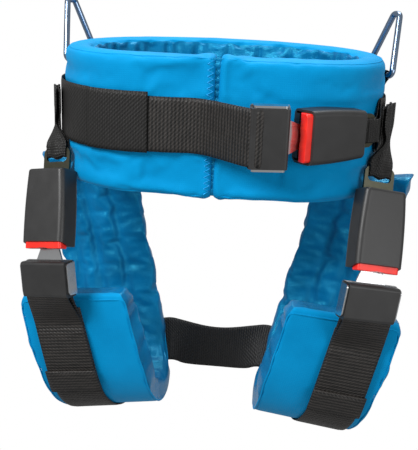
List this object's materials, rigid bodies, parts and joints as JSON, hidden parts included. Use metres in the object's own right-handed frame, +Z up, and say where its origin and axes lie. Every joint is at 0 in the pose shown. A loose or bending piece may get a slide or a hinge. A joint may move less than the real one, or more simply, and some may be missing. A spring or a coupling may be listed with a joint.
{
  "type": "walking harness belt",
  "caption": "Padded waist belt with leg cradles, seat-belt style buckles and lifting rings, for walking and transfer support.",
  "frame": {"origin": "under the middle of the harness, at the level of its lowest point", "axes": "+Z up, the wearer faces -Y, +X to the right as seen from the front"},
  "size_m": [0.394, 0.2382, 0.4136],
  "materials": {
    "cover_fabric": "bright blue woven nylon",
    "pad_foam": "open-cell foam",
    "lining_satin": "quilted blue satin",
    "webbing": "black seat-belt webbing",
    "buckle_plastic": "moulded, fine grain",
    "button_plastic": "red, satin",
    "ejector_plastic": "natural acetal",
    "ring_steel": "zinc-chromate plated",
    "tongue_steel": "bright plated",
    "spring_steel": "spring temper",
    "screw_steel": "black zinc"
  },
  "bodies": {
    "root": {"belt_cover": "cover_fabric", "belt_foam": "pad_foam", "belt_lining": "lining_satin", "cross_strap": "webbing", "left_hang_loop": "webbing", "left_leg_cover": "cover_fabric", "left_leg_foam": "pad_foam", "left_leg_frame_plate": "tongue_steel", "left_leg_front_case": "buckle_plastic", "left_leg_latch": "spring_steel", "left_leg_lining": "lining_satin", "left_leg_rear_case": "buckle_plastic", "left_leg_screws": "screw_steel", "left_leg_springs": "spring_steel", "left_leg_strap": "webbing", "left_ring_tab": "webbing", "right_hang_loop": "webbing", "right_leg_cover": "cover_fabric", "right_leg_foam": "pad_foam", "right_leg_frame_plate": "tongue_steel", "right_leg_front_case": "buckle_plastic", "right_leg_latch": "spring_steel", "right_leg_lining": "lining_satin", "right_leg_rear_case": "buckle_plastic", "right_leg_screws": "screw_steel", "right_leg_springs": "spring_steel", "right_leg_strap": "webbing", "right_ring_tab": "webbing", "waist_buckle_loop": "webbing", "waist_frame_plate": "tongue_steel", "waist_front_case": "buckle_plastic", "waist_latch": "spring_steel", "waist_rear_case": "buckle_plastic", "waist_screws": "screw_steel", "waist_springs": "spring_steel", "waist_strap": "webbing"},
    "waist_tongue": {"waist_tongue_plate": "tongue_steel", "waist_lock_bar": "tongue_steel", "waist_tongue_cap": "buckle_plastic", "waist_front_strap": "webbing"},
    "waist_button": {"waist_button": "button_plastic"},
    "waist_ejector": {"waist_ejector": "ejector_plastic"},
    "left_leg_tongue": {"left_leg_tongue_plate": "tongue_steel", "left_leg_lock_bar": "tongue_steel", "left_leg_tongue_cap": "buckle_plastic", "left_tongue_strap": "webbing"},
    "left_leg_button": {"left_leg_button": "button_plastic"},
    "left_leg_ejector": {"left_leg_ejector": "ejector_plastic"},
    "left_ring": {"left_lifting_ring": "ring_steel"},
    "right_leg_tongue": {"right_leg_tongue_plate": "tongue_steel", "right_leg_lock_bar": "tongue_steel", "right_leg_tongue_cap": "buckle_plastic", "right_tongue_strap": "webbing"},
    "right_leg_button": {"right_leg_button": "button_plastic"},
    "right_leg_ejector": {"right_leg_ejector": "ejector_plastic"},
    "right_ring": {"right_lifting_ring": "ring_steel"}
  },
  "joints": [
    {"name": "waist_tongue_slide", "type": "slide", "parent": "root", "child": "waist_tongue", "axis": [-0.8192, -0.5736, 0], "range_m": [0, 0.026], "deforming": ["waist_latch"]},
    {"name": "waist_button_press", "type": "slide", "parent": "root", "child": "waist_button", "axis": [0.8192, 0.5736, 0], "range_m": [0, 0.004], "stiffness_N_per_m": 600, "deforming": ["waist_springs"]},
    {"name": "waist_ejector_slide", "type": "slide", "parent": "root", "child": "waist_ejector", "axis": [-0.8192, -0.5736, 0], "range_m": [0, 0.008]},
    {"name": "left_leg_tongue_slide", "type": "slide", "parent": "root", "child": "left_leg_tongue", "axis": [0.04, -0.3751, -0.9261], "range_m": [0, 0.026], "deforming": ["left_leg_latch"]},
    {"name": "left_leg_button_press", "type": "slide", "parent": "root", "child": "left_leg_button", "axis": [-0.04, 0.3751, 0.9261], "range_m": [0, 0.004], "stiffness_N_per_m": 600, "deforming": ["left_leg_springs"]},
    {"name": "left_leg_ejector_slide", "type": "slide", "parent": "root", "child": "left_leg_ejector", "axis": [0.04, -0.3751, -0.9261], "range_m": [0, 0.008]},
    {"name": "right_leg_tongue_slide", "type": "slide", "parent": "root", "child": "right_leg_tongue", "axis": [-0.04, -0.3751, -0.9261], "range_m": [0, 0.026], "deforming": ["right_leg_latch"]},
    {"name": "right_leg_button_press", "type": "slide", "parent": "root", "child": "right_leg_button", "axis": [0.04, 0.3751, 0.9261], "range_m": [0, 0.004], "stiffness_N_per_m": 600, "deforming": ["right_leg_springs"]},
    {"name": "right_leg_ejector_slide", "type": "slide", "parent": "root", "child": "right_leg_ejector", "axis": [-0.04, -0.3751, -0.9261], "range_m": [0, 0.008]},
    {"name": "left_ring_swing", "type": "hinge", "parent": "root", "child": "left_ring", "pos_m": [-0.14776, 0.04861, 0.353], "axis": [-0.4397, -0.8981, 0], "range_deg": [-18, 140]},
    {"name": "right_ring_swing", "type": "hinge", "parent": "root", "child": "right_ring", "pos_m": [0.14776, 0.04861, 0.353], "axis": [-0.4397, 0.8981, 0], "range_deg": [-18, 140]}
  ],
  "couplings": [
    {"joint": "waist_ejector_slide", "follows": "waist_tongue_slide", "ratio": 0.3},
    {"joint": "left_leg_ejector_slide", "follows": "left_leg_tongue_slide", "ratio": 0.3},
    {"joint": "right_leg_ejector_slide", "follows": "right_leg_tongue_slide", "ratio": 0.3}
  ]
}
